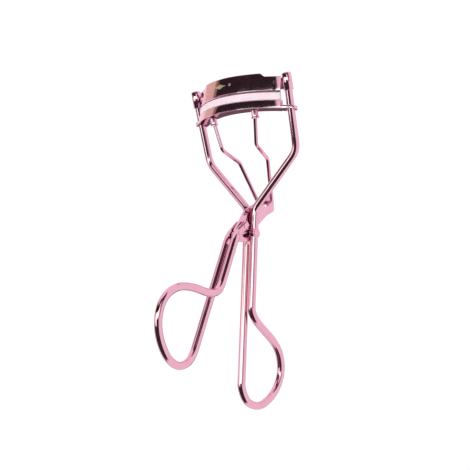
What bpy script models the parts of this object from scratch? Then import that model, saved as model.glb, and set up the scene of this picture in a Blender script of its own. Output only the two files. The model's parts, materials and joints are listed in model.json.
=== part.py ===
"""Eyelash curler: a bent-wire frame with a fixed upper jaw, a padded lower jaw that slides on the
frame rods, and a lever handle whose plate works the lower jaw through a bent push rod.

Frame of the model: metres, +Z along the two guide rods, +X along the width of the jaws, -Y towards
the bulging front of the jaws. The origin is the middle of the frame handle's finger loop.
"""
import math

import bmesh
import bpy
from mathutils import Matrix, Vector

MM = 0.001

# ---- driving dimensions -------------------------------------------------------------------
WIRE_R = 1.2 * MM               # frame and lever wire, radius
WIRE_SIDES = 12
GAP = 0.3 * MM                  # clearance kept between pieces that rest on or pass each other
CUT_REACH = 5.0 * MM            # half the length of the tools that cut across the wires or plates
TIP_SHARE = 0.3                 # a wire's end domes out by this share of its radius
TIP_NECK = 0.7                  # and narrows to this share of it

ROD_TOP_HALF = 19.0 * MM        # half the rod spacing at the tips
ROD_KINK_HALF = 17.95 * MM      # half the rod spacing at the lower bend
ROD_BACK = 6.7 * MM             # rods behind the hinge axis
ROD_TOP_Z = 46.4 * MM           # rod tips above the hinge axis
ROD_KINK_Z = 23.0 * MM          # lower bend of the rods above the hinge axis
ROD_KINK_BEND = 5.0 * MM        # bend radius there
NECK_BEND = 3.0 * MM            # bend radius where the two wires come together
PAIR_HALF = 1.5 * MM            # half the spacing of the two wires of a handle

HANDLE_ANGLE = math.radians(17.7)   # frame handle, from the rods
LEVER_ANGLE = math.radians(37.4)    # lever handle, from the rods
NECK_UP = 7.7 * MM              # hinge to the neck, along the frame handle
LEVER_OFFSET = 7.1 * MM         # lever wires in front of the hinge

JAW_TILT = math.radians(18.0)   # jaws rise towards the front, from square to the rods
JAW_R = 27.7 * MM               # outer radius of both jaws
JAW_SET = 0.27 * MM             # the rods stand this far ahead of where the arc would meet them
JAW_MEET_Z = 43.0 * MM          # lower edge of the upper jaw plate, at the front
PLATE_SHORT = 2.2 * MM          # each end of the upper jaw plate stops short of the rod's axis
PLATE_T = 0.8 * MM
PLATE_EDGE = 0.2 * MM           # chamfer along its outer edges
PLATE_HEIGHT = 5.8 * MM         # at the raised middle
PLATE_END_HEIGHT = 4.8 * MM     # towards the ends
SHOULDER_HALF = 11.0 * MM       # half width of the raised middle
SHOULDER_RUN = 1.6 * MM         # width over which each shoulder falls
PLATE_LIP = 2.2 * MM            # lower edge of the plate folded back inside

REST_GAP = 0.4 * MM             # plate to pad at rest
PAD_SHOW = 2.3 * MM             # height of the pad above the channel
PAD_ROUND = 0.35 * MM
PAD_END = 1.8 * MM              # pad stops short of the channel's ends
PAD_INSET = 0.15 * MM           # pad's sides behind the channel's faces
JAW_TRAVEL = 7.2 * MM           # of the lower jaw down the rods
CHANNEL_H = 2.5 * MM
CHANNEL_W = 4.0 * MM
CHANNEL_WALL = 0.6 * MM
CHANNEL_SHORT = 1.6 * MM        # each end of the channel stops short of the rod's axis
BEAD = 0.15 * MM                # bead round the foot of the channel
BEAD_LOW = 0.5 * MM             # the bead's full width reaches this high, and fades out
BEAD_FADE = 0.15 * MM           # over this height
EAR_WALL = 0.5 * MM             # round the guide holes
EAR_T = 1.0 * MM
EAR_ROOT_IN = 1.9 * MM          # the ears grow out of the channel from here, short of its ends
EAR_ROOT_LONG = 3.6 * MM        # and from this far in front of the rods
EAR_ROOT_SHIFT = 0.4 * MM
GUIDE_CLEAR = 0.25 * MM         # round the rods in the ears
GUIDE_PLAY = 0.1 * MM           # more of it on the outer side

CLIP_WALL = 0.2 * MM            # strip rolled round each rod's tip
CLIP_CLEAR = 0.1 * MM
CLIP_H = 5.2 * MM               # from the end of the rod's straight side down
TAB_T = 0.7 * MM
TAB_LONG = 3.0 * MM             # the tab's reach inside the plate, from its end
TAB_BITE = 0.3                  # the tab runs past the rod by this share of the roll's radius
CLIP_RIVET_IN = 1.6 * MM        # the rivet's place, from the end of the plate
SAGITTA_CLEAR = 0.1 * MM
RIVET_R = 0.5 * MM
RIVET_HEAD_RIM = 0.35 * MM
RIVET_CLEAR = 0.2 * MM
RIVET_HEAD_T = 0.25 * MM
HEAD_CLEAR = 0.15 * MM          # under each rivet head
FLAT_FACE = 0.75                # wires are flattened outside to this share of their radius

PUSH_R = 0.62 * MM              # push rod wire, radius
PUSH_TOP_X = 8.5 * MM           # where the push rod's ends stand under the lower jaw
PUSH_KNEE_X = 7.0 * MM          # where the uprights bend back
PUSH_KNEE_Z = 26.7 * MM
PUSH_ANKLE = (5.8 * MM, 7.1 * MM, 21.9 * MM)    # where they run down to the lever plate
PUSH_FOOT_X = 2.75 * MM         # half the stretch that crosses the lever plate
PUSH_BEND = 1.6 * MM
PUSH_FOOT_BEND = 1.3 * MM
HOOK_Y = 9.35 * MM              # where the push rod goes through the lever plate
HOOK_Z = 8.2 * MM
SLOT_OFFSET = (-0.1 * MM, -0.15 * MM)   # middle of the lever plate's slot from the push rod at rest
SLOT_CLEAR_Y = 0.53 * MM        # slot in the lever plate round the push rod
SLOT_CLEAR_Z = 0.58 * MM
SOCKET_CLEAR = 0.24 * MM
SOCKET_WALL = 0.24 * MM
SOCKET_RIM = 0.18 * MM
SOCKET_MOUTH = 0.95 * MM        # mouth of the socket below the push rod's pivot end
SOCKET_ROOF = 0.45 * MM         # least metal above the bore
SOCKET_RIM_T = 0.35 * MM        # height of the flare, which fades out over as much again

LEVER_PLATE_T = 0.9 * MM
HINGE_R = 0.75 * MM
HINGE_CLEAR = 0.2 * MM
HINGE_HEAD_RIM = 0.4 * MM        # rivet head beyond the shank
HINGE_HEAD_T = 0.25 * MM
EYE_WALL = 0.65 * MM            # flattened eye of the frame wire round the rivet's hole
EYE_IN = 0.4 * MM               # inner face of the eyes before the flats are cut
PLATE_CORNER = 1.2 * MM         # corner radius of the lever plate
FLAT_UP = 10.2 * MM             # flattened stretch of the wires above the hinge
FLAT_DOWN = 3.4 * MM            # and below it

LOOP_CENTRE = (38.6 * MM, 8.0 * MM)     # of the frame handle, along and across it from the hinge
HANDLE_START = 20.0 * MM        # straight run of the frame handle's pair, from the hinge
LEVER_START = 18.0 * MM         # and of the lever's
LEVER_BEND_S = 4.6 * MM         # bend of the lever wires, along the lever
LEVER_BEND = 4.0 * MM

# ---- places worked out from them ----------------------------------------------------------
ROD_LEAN = (ROD_TOP_HALF - ROD_KINK_HALF) / (ROD_TOP_Z - ROD_KINK_Z)    # spread of each rod per height
EAR_R = WIRE_R + GUIDE_CLEAR + EAR_WALL
JAW_SAGITTA = JAW_R - math.sqrt(JAW_R ** 2 - ROD_TOP_HALF ** 2)
JAW_FRONT = JAW_SAGITTA * math.cos(JAW_TILT) - ROD_BACK - JAW_SET   # ahead of the hinge axis
PLATE_HALF = ROD_TOP_HALF - PLATE_SHORT
CHANNEL_HALF = ROD_TOP_HALF - CHANNEL_SHORT
SOCKET_BORE = PUSH_R + SOCKET_CLEAR
SOCKET_R = SOCKET_BORE + SOCKET_WALL
SOCKET_FLARE = SOCKET_R + SOCKET_RIM
HINGE_HOLE_R = HINGE_R + HINGE_CLEAR
HINGE_HEAD_R = HINGE_R + HINGE_HEAD_RIM
EYE_R = HINGE_HOLE_R + EYE_WALL
RIVET_HEAD_R = RIVET_R + RIVET_HEAD_RIM
RIVET_HOLE_R = RIVET_R + RIVET_CLEAR


def along(angle, s, t, x=0.0, side=1):
    """A point s down a handle and t across it (side +1 to the back, -1 to the front)."""
    c, n = math.cos(angle), math.sin(angle)
    return Vector((x, -n * s + side * c * t, -c * s - side * n * t))


HINGE = -along(HANDLE_ANGLE, *LOOP_CENTRE)      # hinge axis, seen from the model's origin


def smoothstep(t):
    t = min(1.0, max(0.0, t))
    return t * t * (3.0 - 2.0 * t)


# ---- mesh helpers -------------------------------------------------------------------------
def material(name, colour, roughness, metallic):
    mat = bpy.data.materials.new(name)
    mat.use_nodes = True
    bsdf = mat.node_tree.nodes["Principled BSDF"]
    bsdf.inputs["Base Color"].default_value = (*colour, 1.0)
    bsdf.inputs["Roughness"].default_value = roughness
    bsdf.inputs["Metallic"].default_value = metallic
    return mat


def add(name, bm, mat, smooth_angle=40.0):
    """Turns a bmesh into an object of the part, placed from the hinge."""
    bmesh.ops.recalc_face_normals(bm, faces=bm.faces)
    mesh = bpy.data.meshes.new(name)
    bm.to_mesh(mesh)
    bm.free()
    mesh.shade_smooth()
    mesh.set_sharp_from_angle(angle=math.radians(smooth_angle))
    obj = bpy.data.objects.new(name, mesh)
    obj.location = HINGE
    bpy.context.scene.collection.objects.link(obj)
    if mat:
        mesh.materials.append(mat)
    return obj


def cut(obj, name, bm, operation="DIFFERENCE"):
    """Cuts or joins a hidden tool body; both are placed from the hinge."""
    tool = add(name, bm, None)
    tool.hide_render = True
    tool.display_type = "WIRE"
    mod = obj.modifiers.new(name, "BOOLEAN")
    mod.operation = operation
    mod.solver = "EXACT"
    mod.object = tool


def fillet(points, radii, step=math.radians(15)):
    """Corners joined by straight runs, with each corner rounded to its bend radius."""
    pts = [Vector(p) for p in points]
    out = [pts[0]]
    for i in range(1, len(pts) - 1):
        a = (pts[i - 1] - pts[i]).normalized()
        b = (pts[i + 1] - pts[i]).normalized()
        turn = math.pi - a.angle(b)
        back = radii[i - 1] * math.tan(turn / 2)
        centre = pts[i] + (a + b).normalized() * (radii[i - 1] / math.cos(turn / 2))
        first = pts[i] + a * back - centre
        axis = first.cross(pts[i] + b * back - centre).normalized()
        count = max(2, round(turn / step))
        for k in range(count + 1):
            out.append(centre + Matrix.Rotation(turn * k / count, 3, axis) @ first)
    out.append(pts[-1])
    return out


def smooth_path(points, per_span=4):
    """A Catmull-Rom curve through the points."""
    pts = [Vector(p) for p in points]
    pts = [2 * pts[0] - pts[1]] + pts + [2 * pts[-1] - pts[-2]]
    out = []
    for i in range(1, len(pts) - 2):
        p0, p1, p2, p3 = pts[i - 1:i + 3]
        for k in range(per_span):
            t = k / per_span
            out.append(0.5 * (2 * p1 + (p2 - p0) * t + (2 * p0 - 5 * p1 + 4 * p2 - p3) * t * t
                              + (3 * p1 - 3 * p2 + p3 - p0) * t ** 3))
    out.append(pts[-2])
    return out


def tube(points, radius, sides=WIRE_SIDES, round_end=True):
    """A closed round bar along the points, with slightly rounded ends."""
    bm = bmesh.new()
    pts = [Vector(p) for p in points]
    count = len(pts)
    tangents = []
    for i in range(count):
        before = (pts[i] - pts[i - 1]).normalized() if i else Vector()
        after = (pts[i + 1] - pts[i]).normalized() if i < count - 1 else Vector()
        tangents.append((before + after).normalized())
    normal = tangents[0].orthogonal().normalized()
    rings = []

    def ring(centre, tangent, across, size):
        other = tangent.cross(across)
        angles = [2 * math.pi * k / sides for k in range(sides)]
        rings.append([bm.verts.new(centre + (across * math.cos(a) + other * math.sin(a)) * size)
                      for a in angles])

    for i in range(count):
        normal = (normal - tangents[i] * normal.dot(tangents[i])).normalized()
        if i == 0 and round_end:
            ring(pts[0] - tangents[0] * radius * TIP_SHARE, tangents[0], normal, radius * TIP_NECK)
        ring(pts[i], tangents[i], normal, radius)
        if i == count - 1 and round_end:
            ring(pts[i] + tangents[i] * radius * TIP_SHARE, tangents[i], normal, radius * TIP_NECK)
    for low, high in zip(rings, rings[1:]):
        for k in range(sides):
            bm.faces.new((low[k], low[(k + 1) % sides], high[(k + 1) % sides], high[k]))
    bm.faces.new(rings[0][::-1])
    bm.faces.new(rings[-1])
    return bm


def turned(profile, place, sides=16):
    """A turned body: profile is (radius, height) pairs from one end to the other."""
    bm = bmesh.new()
    circle = [(math.cos(2 * math.pi * k / sides), math.sin(2 * math.pi * k / sides)) for k in range(sides)]
    rings = []
    for r, h in profile:
        rings.append([bm.verts.new(place @ Vector((r * c, r * n, h))) for c, n in circle])
    for low, high in zip(rings, rings[1:]):
        for k in range(sides):
            bm.faces.new((low[k], low[(k + 1) % sides], high[(k + 1) % sides], high[k]))
    bm.faces.new(rings[0][::-1])
    bm.faces.new(rings[-1])
    return bm


def slab(outline, x_low, x_high, axes=None):
    """An outline extruded between two heights; by default (y, z) points extruded along X."""
    place = axes or (lambda a, b, h: Vector((h, a, b)))
    bm = bmesh.new()
    low = [bm.verts.new(place(a, b, x_low)) for a, b in outline]
    high = [bm.verts.new(place(a, b, x_high)) for a, b in outline]
    bm.faces.new(low[::-1])
    bm.faces.new(high)
    for k in range(len(outline)):
        n = (k + 1) % len(outline)
        bm.faces.new((low[k], low[n], high[n], high[k]))
    return bm


def rounded(corners, radius, step=math.radians(20)):
    """A closed outline with each corner rounded."""
    pts = [Vector((a, b, 0.0)) for a, b in corners]
    out = []
    for i, p in enumerate(pts):
        run = fillet([(pts[i - 1] + p) / 2, p, (p + pts[(i + 1) % len(pts)]) / 2], [radius], step)
        out += [(q.x, q.y) for q in run[1:-1]]
    return out


def along_x(x, y, z):
    """Places a turned body with its axis along X."""
    return Matrix.Translation((x, y, z)) @ Matrix.Rotation(math.pi / 2, 4, "Y")


def drill(radius, place, reach=CUT_REACH):
    """The tool for a round hole, centred on its place."""
    return turned([(radius, -reach), (radius, reach)], place)


# ---- the jaws' arc ------------------------------------------------------------------------
def jaw_point(turn, radius, height):
    """A point of the jaws: turn round the arc from the front, its radius, height square to the arc."""
    back = JAW_R - radius * math.cos(turn)
    y = -JAW_FRONT + back * math.cos(JAW_TILT) + height * math.sin(JAW_TILT)
    z = JAW_MEET_Z - back * math.sin(JAW_TILT) + height * math.cos(JAW_TILT)
    return Vector((radius * math.sin(turn), y, z))


def jaw_turn(half):
    return math.asin(half / JAW_R)


def jaw_sweep(profile, half, steps=28):
    """Sweeps a (radius, height) section round the jaws' arc; profile is a function of x."""
    bm = bmesh.new()
    limit = jaw_turn(half)
    rings = []
    for i in range(steps + 1):
        turn = limit * (2 * i / steps - 1)
        section = profile(JAW_R * math.sin(turn))
        rings.append([bm.verts.new(jaw_point(turn, r, h)) for r, h in section])
    size = len(rings[0])
    for low, high in zip(rings, rings[1:]):
        for k in range(size):
            bm.faces.new((low[k], low[(k + 1) % size], high[(k + 1) % size], high[k]))
    bm.faces.new(rings[0][::-1])
    bm.faces.new(rings[-1])
    return bm


def rod_x(z):
    """Half the rod spacing at a height above the hinge."""
    return ROD_KINK_HALF + ROD_LEAN * (z - ROD_KINK_Z)


# ---- pieces -------------------------------------------------------------------------------
def handle_loop(angle, side, spots, x_start):
    """Finger loop: (s, t) spots, with x passing evenly from one wire of the pair to the other."""
    last = len(spots) - 1
    points = []
    for i, (s, t) in enumerate(spots):
        x = x_start * (1.0 - 2.0 * smoothstep(i / last))
        points.append(along(angle, s * MM, t * MM, x, side))
    return smooth_path(points)


FRAME_LOOP = [(24.0, 0.0), (26.8, 2.4), (29.5, 6.7), (32.2, 11.1), (35.9, 14.7), (40.9, 16.3),
              (45.8, 15.3), (49.9, 12.2), (52.4, 7.6), (51.3, 2.6), (47.4, 0.1), (44.0, 0.0)]
LEVER_LOOP = [(21.0, 0.0), (24.0, 0.9), (25.8, 4.3), (26.8, 9.6), (29.0, 14.9), (32.8, 18.2),
              (37.4, 19.0), (42.2, 17.5), (46.3, 14.1), (49.1, 9.4), (49.3, 4.6), (46.6, 1.1),
              (43.0, 0.0)]


def frame_wire(mat):
    neck = along(HANDLE_ANGLE, -NECK_UP, 0.0)

    def upper(side):
        corners = [(side * ROD_TOP_HALF, ROD_BACK, ROD_TOP_Z),
                   (side * ROD_KINK_HALF, ROD_BACK, ROD_KINK_Z),
                   (side * PAIR_HALF, neck.y, neck.z),
                   along(HANDLE_ANGLE, HANDLE_START, 0.0, side * PAIR_HALF)]
        return fillet(corners, [ROD_KINK_BEND, NECK_BEND])

    loop = handle_loop(HANDLE_ANGLE, 1, FRAME_LOOP, PAIR_HALF)
    path = upper(1)[:-1] + loop + upper(-1)[:-1][::-1]
    wire = add("frame_wire", tube(path, WIRE_R), mat)
    # eyes flattened out of the wire round the hinge, then the inner flats and the rivet hole
    outer = PAIR_HALF + FLAT_FACE * WIRE_R
    for side, name in ((1, "right"), (-1, "left")):
        place = along_x(0, 0, 0)
        low, high = sorted((side * EYE_IN, side * outer))
        cut(wire, "eye_" + name, turned([(EYE_R, low), (EYE_R, high)], place, 20), "UNION")
    half = LEVER_PLATE_T / 2 + GAP

    def box(up, down, wide):
        corners = ((-up, -wide), (-up, wide), (down, wide), (down, -wide))
        spots = [along(HANDLE_ANGLE, s, t) for s, t in corners]
        return [(p.y, p.z) for p in spots]

    cut(wire, "flats", slab(box(FLAT_UP, FLAT_DOWN, CUT_REACH), -half, half))
    span = HINGE_HEAD_R + GAP
    for side, name in ((1, "right"), (-1, "left")):
        low, high = sorted((side * outer, side * CUT_REACH))
        cut(wire, "outer_flat_" + name, slab(box(span, span, span), low, high))
    cut(wire, "hinge_hole", drill(HINGE_HOLE_R, along_x(0, 0, 0)))


def two_headed_rivet(name, mat, place, half_grip, shaft_r, head_r, head_t, sides=16):
    """A shank with a domed head at each end; half_grip is from its middle to under a head."""
    profile = [(head_r * 0.6, -half_grip - head_t), (head_r * 0.92, -half_grip - head_t * 0.6),
               (head_r, -half_grip - head_t * 0.15), (head_r, -half_grip), (shaft_r, -half_grip),
               (shaft_r, half_grip), (head_r, half_grip), (head_r, half_grip + head_t * 0.15),
               (head_r * 0.92, half_grip + head_t * 0.6), (head_r * 0.6, half_grip + head_t)]
    add(name, turned(profile, place, sides), mat)


def grip_half():
    """Half the distance between the heads of a rivet that goes through both wires of a pair."""
    return PAIR_HALF + FLAT_FACE * WIRE_R + HEAD_CLEAR


def hinge_rivet(mat):
    size = (HINGE_R, HINGE_HEAD_R, HINGE_HEAD_T)
    two_headed_rivet("hinge_rivet", mat, along_x(0, 0, 0), grip_half(), *size)


def upper_jaw_plate(mat):
    def section(x):
        fall = smoothstep((abs(x) - SHOULDER_HALF) / SHOULDER_RUN)
        top = PLATE_HEIGHT - (PLATE_HEIGHT - PLATE_END_HEIGHT) * fall
        return [(JAW_R, PLATE_EDGE), (JAW_R, top - PLATE_EDGE), (JAW_R - PLATE_EDGE, top),
                (JAW_R - PLATE_T, top), (JAW_R - PLATE_T, PLATE_T), (JAW_R - PLATE_LIP, PLATE_T),
                (JAW_R - PLATE_LIP, 0.0), (JAW_R - PLATE_EDGE, 0.0)]
    plate = add("upper_jaw_plate", jaw_sweep(section, PLATE_HALF), mat)
    for side, name in ((1, "right"), (-1, "left")):
        place, grip = clip_rivet_place(side)
        cut(plate, "plate_hole_" + name, drill(RIVET_HOLE_R, place, 3 * grip))


def clip_rivet_place(side):
    """Axis through the plate's end and the clip's tab, square to the plate, and half the grip."""
    turn = side * jaw_turn(PLATE_HALF - CLIP_RIVET_IN)
    half_grip = (PLATE_T + GAP + TAB_T) / 2 + HEAD_CLEAR
    centre = jaw_point(turn, JAW_R - (PLATE_T + GAP + TAB_T) / 2, (PLATE_T + PLATE_END_HEIGHT) / 2)
    out = (jaw_point(turn, JAW_R + MM, 0) - jaw_point(turn, JAW_R, 0)).normalized()
    return Matrix.Translation(centre) @ out.to_track_quat("Z", "X").to_matrix().to_4x4(), half_grip


def in_jaw_plane(a, b, h):
    """A point of the jaws: x, distance back from the front, height square to the arc."""
    y = -JAW_FRONT + b * math.cos(JAW_TILT) + h * math.sin(JAW_TILT)
    return Vector((a, y, JAW_MEET_Z - b * math.sin(JAW_TILT) + h * math.cos(JAW_TILT)))


def rod_back(h):
    """How far back in the jaws' plane the rods stand, at a height above it."""
    return (ROD_BACK + JAW_FRONT - h * math.sin(JAW_TILT)) / math.cos(JAW_TILT)


def upper_jaw_clip(side, name, mat):
    """A strip rolled round the rod's tip, with a tab that lies inside the plate's end."""
    low, high = PLATE_T + GAP, PLATE_END_HEIGHT - GAP
    middle = (low + high) / 2
    z_mid = in_jaw_plane(0.0, rod_back(middle), middle).z
    rod = Vector((side * rod_x(z_mid), rod_back(middle)))
    inner = WIRE_R + CLIP_CLEAR
    outer = inner + CLIP_WALL

    def inside_plate(half):
        turn = side * jaw_turn(half)
        radius = JAW_R - PLATE_T - GAP
        return Vector((radius * math.sin(turn), JAW_R - radius * math.cos(turn)))

    tip = inside_plate(PLATE_HALF - TAB_LONG)
    run = (inside_plate(PLATE_HALF) - tip).normalized()
    across = Vector((-run.y, run.x)) * side
    join = tip + run * ((rod - tip).dot(run) + TAB_BITE * outer)
    outline = [tip + across * SAGITTA_CLEAR, join, join + across * TAB_T, tip + across * TAB_T]
    tab = slab([tuple(p) for p in outline], low, high, in_jaw_plane)
    clip = add("upper_jaw_clip_" + name, tab, mat)
    roll_low, roll_high = ROD_TOP_Z - CLIP_H, ROD_TOP_Z
    place = Matrix.Translation((rod.x, ROD_BACK, 0))
    cut(clip, "roll_" + name, turned([(outer, roll_low), (outer, roll_high)], place, 20), "UNION")
    bore = [(side * rod_x(z), ROD_BACK, z) for z in (z_mid - CLIP_H, z_mid + CLIP_H)]
    cut(clip, "roll_bore_" + name, tube(bore, inner, 16, False))
    axis, grip = clip_rivet_place(side)
    cut(clip, "clip_hole_" + name, drill(RIVET_HOLE_R, axis, 3 * grip))


def pad_top():
    return -REST_GAP


def channel_top():
    return pad_top() - PAD_SHOW


def channel_foot():
    return channel_top() - CHANNEL_H


def lower_jaw_channel(mat):
    inside = JAW_R - CHANNEL_W
    top, foot = channel_top(), channel_foot()

    def section(_x):
        return [(JAW_R + BEAD, foot + BEAD), (JAW_R + BEAD, foot + BEAD_LOW),
                (JAW_R, foot + BEAD_LOW + BEAD_FADE), (JAW_R, top), (JAW_R - CHANNEL_WALL, top),
                (JAW_R - CHANNEL_WALL, foot + CHANNEL_WALL), (inside + CHANNEL_WALL, foot + CHANNEL_WALL),
                (inside + CHANNEL_WALL, top), (inside, top), (inside, foot), (JAW_R, foot)]
    channel = add("lower_jaw_channel", jaw_sweep(section, CHANNEL_HALF), mat)

    # ears that carry on round the rods, in the plane of the channel's floor, with guide holes
    # that are slots, because the rods near each other on the way down
    ear_z = jaw_point(jaw_turn(CHANNEL_HALF), JAW_R, foot).z
    centre_x = rod_x(ear_z)
    reach = rod_back(foot + EAR_T / 2)
    tip = [(centre_x + EAR_R * math.cos(a), reach + EAR_R * math.sin(a))
           for a in [math.radians(-80 + 20 * k) for k in range(11)]]
    root = [(CHANNEL_HALF - EAR_ROOT_IN, reach + EAR_ROOT_SHIFT),
            (CHANNEL_HALF - EAR_ROOT_IN + EAR_ROOT_SHIFT, reach - EAR_ROOT_LONG)]
    hole_r = WIRE_R + GUIDE_CLEAR
    slot = []
    for centre, turns in ((centre_x + GUIDE_PLAY, range(-4, 5)),
                          (centre_x - JAW_TRAVEL * ROD_LEAN, range(4, 13))):
        for k in turns:
            a = math.radians(22.5 * k)
            slot.append((centre + hole_r * math.cos(a), ROD_BACK + hole_r * math.sin(a)))
    for side, name in ((1, "right"), (-1, "left")):
        outline = [(side * a, b) for a, b in tip + root]
        cut(channel, "ear_" + name, slab(outline, foot, foot + EAR_T, in_jaw_plane), "UNION")
        bore = [(side * a, b) for a, b in slot]
        tool = slab(bore, ear_z - CUT_REACH, ear_z + CUT_REACH, lambda a, b, h: Vector((a, b, h)))
        cut(channel, "guide_" + name, tool)


def silicone_pad(mat):
    groove_in = JAW_R - CHANNEL_W + CHANNEL_WALL
    groove_out = JAW_R - CHANNEL_WALL
    top, rim, foot = pad_top(), channel_top(), channel_foot()

    def section(_x):
        outer, inner = JAW_R - PAD_INSET, JAW_R - CHANNEL_W + PAD_INSET
        return [(groove_out - GAP, foot + CHANNEL_WALL + GAP), (groove_out - GAP, rim + GAP),
                (outer, rim + GAP), (outer, top - PAD_ROUND), (outer - PAD_ROUND, top),
                (inner + PAD_ROUND, top), (inner, top - PAD_ROUND), (inner, rim + GAP),
                (groove_in + GAP, rim + GAP), (groove_in + GAP, foot + CHANNEL_WALL + GAP)]
    add("silicone_pad", jaw_sweep(section, CHANNEL_HALF - PAD_END), mat)


def push_spot():
    """Middle of the channel's underside above the push rod's right end."""
    radius = JAW_R - CHANNEL_W / 2
    return jaw_point(math.asin(PUSH_TOP_X / radius), radius, channel_foot())


def push_top_z():
    """Middle of the push rod's pivot ends, under the roofs of their sockets."""
    slant = SOCKET_BORE * math.tan(JAW_TILT)
    return push_spot().z - GAP - SOCKET_ROOF - slant - GAP - TIP_SHARE * PUSH_R


def push_rod_socket(side, name, mat):
    """A short flared sleeve under the channel; its bore leaves the push rod room to swing."""
    y, top = push_spot().y, push_spot().z - GAP
    low = push_top_z() - SOCKET_MOUTH
    roof = push_top_z() + TIP_SHARE * PUSH_R + GAP
    place = Matrix.Translation((side * PUSH_TOP_X, y, 0))
    profile = [(SOCKET_BORE, roof), (SOCKET_BORE, low), (SOCKET_FLARE, low),
               (SOCKET_FLARE, low + SOCKET_RIM_T), (SOCKET_R, low + 2 * SOCKET_RIM_T), (SOCKET_R, top + MM)]
    socket = add("push_rod_socket_" + name, turned(profile, place), mat)

    # the head follows the slope of the channel's floor
    def sloped(a, b, h):
        c, n = math.cos(JAW_TILT), math.sin(JAW_TILT)
        return Vector((side * PUSH_TOP_X + a, y + c * b + n * h, top - n * b + c * h))

    w = CUT_REACH
    cut(socket, "slope_" + name, slab([(-w, -w), (w, -w), (w, w), (-w, w)], 0.0, w, sloped))


def push_rod_wire(mat):
    """One thin wire: two uprights joined by the stretch that goes through the lever plate."""
    y = push_spot().y

    def half(side):
        ankle_x, ankle_y, ankle_z = PUSH_ANKLE
        return [(side * PUSH_TOP_X, y, push_top_z()), (side * PUSH_KNEE_X, y, PUSH_KNEE_Z),
                (side * ankle_x, ankle_y, ankle_z), (side * PUSH_FOOT_X, HOOK_Y, HOOK_Z)]
    bends = [PUSH_BEND, PUSH_BEND, PUSH_FOOT_BEND]
    path = fillet(half(1) + half(-1)[::-1], bends + bends[::-1], math.radians(20))
    add("push_rod_wire", tube(path, PUSH_R, 10), mat)


# (y, z) from the hinge, in mm
LEVER_WIRE_END = (-3.1, 3.45)
LEVER_FLAT = [(-13.0, 0.5), (-6.0, -5.5), (2.0, 3.0), (-5.0, 9.0)]      # wires flattened on the plate
LEVER_FACE = [(-9.5, 2.8), (-7.3, -1.4), (-0.7, 2.0), (-2.9, 6.3)]      # and outside, under the rivets
LEVER_RIVETS = {"upper": (-4.22, 2.86), "lower": (-7.23, 1.29)}
LEVER_PLATE = [(-9.2, 0.6), (-6.6, -1.4), (-2.4, -2.2), (1.7, -1.9), (3.6, 1.9), (8.2, 4.2), (12.4, 5.1),
               (13.0, 8.3), (12.2, 10.7), (8.8, 10.6), (5.6, 9.0), (1.9, 8.3), (-1.0, 7.5), (-4.6, 4.2)]


def lever_wire(mat):
    def upper(side):
        x = side * PAIR_HALF
        end = (x, LEVER_WIRE_END[0] * MM, LEVER_WIRE_END[1] * MM)
        bend = along(LEVER_ANGLE, LEVER_BEND_S, LEVER_OFFSET, x, -1)
        return fillet([end, bend, along(LEVER_ANGLE, LEVER_START, LEVER_OFFSET, x, -1)], [LEVER_BEND])

    spots = [(s, t + LEVER_OFFSET / MM) for s, t in LEVER_LOOP]
    loop = handle_loop(LEVER_ANGLE, -1, spots, PAIR_HALF)
    wire = add("lever_wire", tube(upper(1)[:-1] + loop + upper(-1)[:-1][::-1], WIRE_R), mat)
    half = LEVER_PLATE_T / 2 + GAP
    cut(wire, "lever_flats", slab([(y * MM, z * MM) for y, z in LEVER_FLAT], -half, half))
    face = [(y * MM, z * MM) for y, z in LEVER_FACE]
    outer = PAIR_HALF + FLAT_FACE * WIRE_R
    for side, name in ((1, "right"), (-1, "left")):
        low, high = sorted((side * outer, side * CUT_REACH))
        cut(wire, "lever_face_" + name, slab(face, low, high))
    for name, (y, z) in LEVER_RIVETS.items():
        cut(wire, "wire_hole_" + name, drill(RIVET_HOLE_R, along_x(0, y * MM, z * MM)))


def lever_plate(mat):
    outline = rounded([(y * MM, z * MM) for y, z in LEVER_PLATE], PLATE_CORNER)
    plate = add("lever_plate", slab(outline, -LEVER_PLATE_T / 2, LEVER_PLATE_T / 2), mat)
    cut(plate, "plate_hinge_hole", drill(HINGE_HOLE_R, along_x(0, 0, 0)))
    for name, (y, z) in LEVER_RIVETS.items():
        cut(plate, "lever_hole_" + name, drill(RIVET_HOLE_R, along_x(0, y * MM, z * MM)))
    slot = []
    sides = 20
    for k in range(sides):
        a = 2 * math.pi * k / sides
        slot.append((HOOK_Y + SLOT_OFFSET[0] + (PUSH_R + SLOT_CLEAR_Y) * math.cos(a),
                     HOOK_Z + SLOT_OFFSET[1] + (PUSH_R + SLOT_CLEAR_Z) * math.sin(a)))
    cut(plate, "push_rod_slot", slab(slot, -CUT_REACH, CUT_REACH))


def lever_rivets(mat):
    size = (RIVET_R, RIVET_HEAD_R, RIVET_HEAD_T, 12)
    for name, (y, z) in LEVER_RIVETS.items():
        two_headed_rivet("lever_rivet_" + name, mat, along_x(0, y * MM, z * MM), grip_half(), *size)


def build():
    for obj in list(bpy.data.objects):
        bpy.data.objects.remove(obj, do_unlink=True)
    pink = (0.86, 0.56, 0.60)
    wire = material("rose_wire", pink, 0.14, 1.0)
    sheet = material("rose_sheet", (0.85, 0.54, 0.58), 0.12, 1.0)
    rivet = material("rose_rivet", (0.88, 0.62, 0.62), 0.18, 1.0)
    silicone = material("silicone", (0.95, 0.82, 0.86), 0.45, 0.0)

    frame_wire(wire)
    hinge_rivet(rivet)
    upper_jaw_plate(sheet)
    lower_jaw_channel(sheet)
    silicone_pad(silicone)
    push_rod_wire(wire)
    lever_wire(wire)
    lever_plate(sheet)
    lever_rivets(rivet)
    for side, name in ((1, "right"), (-1, "left")):
        upper_jaw_clip(side, name, sheet)
        axis, grip = clip_rivet_place(side)
        rivet_size = (RIVET_R, RIVET_HEAD_R, RIVET_HEAD_T, 12)
        two_headed_rivet("upper_jaw_rivet_" + name, rivet, axis, grip, *rivet_size)
        push_rod_socket(side, name, sheet)


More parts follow.
